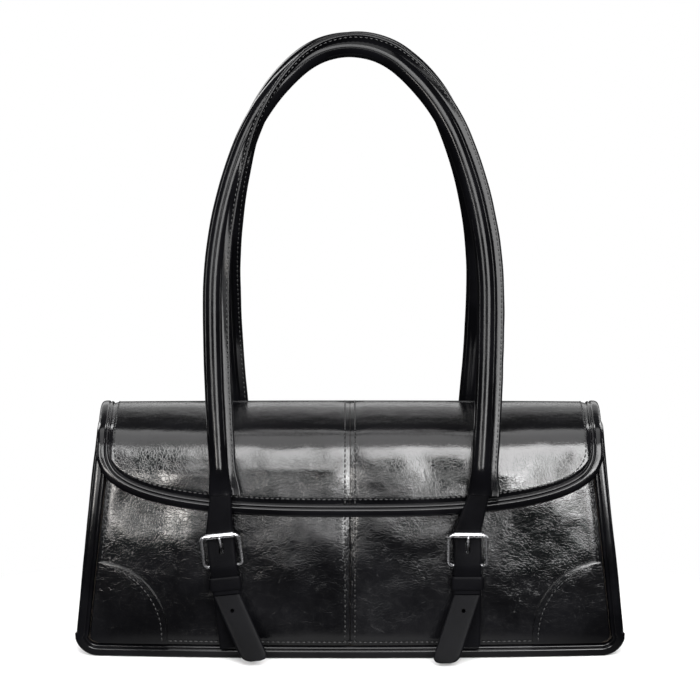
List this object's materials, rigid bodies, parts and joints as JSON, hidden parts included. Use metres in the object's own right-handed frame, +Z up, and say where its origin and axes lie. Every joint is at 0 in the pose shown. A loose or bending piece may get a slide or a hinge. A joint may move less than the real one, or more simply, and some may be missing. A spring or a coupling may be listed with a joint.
{
  "type": "baguette bag",
  "caption": "Long low shoulder bag with a curved front flap, rolled twin handles, and buckled straps with loose tails.",
  "frame": {"origin": "centre of the flat base, on the ground", "axes": "+X to the right seen from the front, -Y towards the front wall with the buckles, +Z up"},
  "size_m": [0.3268, 0.1193, 0.366],
  "materials": {
    "glazed_leather": "glossy oil-wax finish with fine creases",
    "strap_leather": "satin smooth, cut edges painted",
    "nickel": "polished nickel plate",
    "lining_cloth": "plain woven lining",
    "board": "grey-brown fibre board",
    "cotton_cord": "twisted cotton filler cord"
  },
  "bodies": {
    "bag": {"base_panel": "glazed_leather", "base_board": "board", "front_panel_left": "glazed_leather", "front_panel_right": "glazed_leather", "back_panel_left": "glazed_leather", "back_panel_right": "glazed_leather", "gusset_left": "glazed_leather", "gusset_right": "glazed_leather", "front_binding": "glazed_leather", "back_binding": "glazed_leather", "front_patch_left": "glazed_leather", "front_patch_right": "glazed_leather", "back_patch_left": "glazed_leather", "back_patch_right": "glazed_leather", "lining": "lining_cloth", "mouth_facing": "glazed_leather", "flap_back_band": "glazed_leather", "front_magnet": "nickel", "front_magnet_washer": "nickel", "rear_tab_left": "glazed_leather", "rear_tab_right": "glazed_leather", "base_strap_left": "strap_leather", "base_strap_right": "strap_leather"},
    "flap": {"flap_left": "glazed_leather", "flap_right": "glazed_leather", "flap_lining": "lining_cloth", "flap_binding": "glazed_leather", "flap_magnet": "nickel"},
    "front_handle": {"front_handle_wrap": "glazed_leather", "front_handle_cord": "cotton_cord", "buckle_strap_left": "strap_leather", "buckle_strap_right": "strap_leather", "buckle_frame_left": "nickel", "buckle_frame_right": "nickel", "tongue_left": "strap_leather", "tongue_right": "strap_leather"},
    "rear_handle": {"rear_handle_wrap": "glazed_leather", "rear_handle_cord": "cotton_cord", "rear_end_left": "glazed_leather", "rear_end_right": "glazed_leather"},
    "roller_left": {"buckle_roller_left": "nickel"},
    "prong_left": {"buckle_prong_left": "nickel"},
    "keeper_left": {"keeper_left": "strap_leather"},
    "tail_left": {"strap_tail_left": "strap_leather"},
    "roller_right": {"buckle_roller_right": "nickel"},
    "prong_right": {"buckle_prong_right": "nickel"},
    "keeper_right": {"keeper_right": "strap_leather"},
    "tail_right": {"strap_tail_right": "strap_leather"}
  },
  "joints": [
    {"name": "flap_hinge", "type": "hinge", "parent": "bag", "child": "flap", "pos_m": [0, 0.0395, 0.1382], "axis": [-1, 0, 0], "range_deg": [0, 66]},
    {"name": "front_handle_swing", "type": "hinge", "parent": "bag", "child": "front_handle", "pos_m": [0, -0.0558, 0.0412], "axis": [1, 0, 0], "range_deg": [0, 66]},
    {"name": "rear_handle_swing", "type": "hinge", "parent": "bag", "child": "rear_handle", "pos_m": [0, 0.04442, 0.10415], "axis": [-1, 0, 0], "range_deg": [0, 95]},
    {"name": "roller_left_spin", "type": "hinge", "parent": "front_handle", "child": "roller_left", "pos_m": [-0.07571, -0.05875, 0.07709], "axis": [0.9945, 0, 0.1045], "continuous": true},
    {"name": "prong_left_lift", "type": "hinge", "parent": "front_handle", "child": "prong_left", "pos_m": [-0.07367, -0.05265, 0.05773], "axis": [0.9945, 0, 0.1045], "range_deg": [0, 4]},
    {"name": "keeper_left_slide", "type": "slide", "parent": "front_handle", "child": "keeper_left", "axis": [0.1045, 0, -0.9945], "range_m": [0, 0.001]},
    {"name": "tail_left_lift", "type": "hinge", "parent": "bag", "child": "tail_left", "pos_m": [-0.0719, -0.0557, 0.04082], "axis": [-0.9945, 0, -0.1045], "range_deg": [0, 45]},
    {"name": "roller_right_spin", "type": "hinge", "parent": "front_handle", "child": "roller_right", "pos_m": [0.0685, -0.05875, 0.07747], "axis": [1, 0, 0], "continuous": true},
    {"name": "prong_right_lift", "type": "hinge", "parent": "front_handle", "child": "prong_right", "pos_m": [0.0685, -0.05265, 0.058], "axis": [1, 0, 0], "range_deg": [0, 4]},
    {"name": "keeper_right_slide", "type": "slide", "parent": "front_handle", "child": "keeper_right", "axis": [0, 0, -1], "range_m": [0, 0.001]},
    {"name": "tail_right_lift", "type": "hinge", "parent": "bag", "child": "tail_right", "pos_m": [0.0685, -0.0557, 0.041], "axis": [-1, 0, 0], "range_deg": [0, 45]}
  ],
  "couplings": [
    {"joint": "front_handle_swing", "follows": "flap_hinge", "ratio": 1}
  ]
}
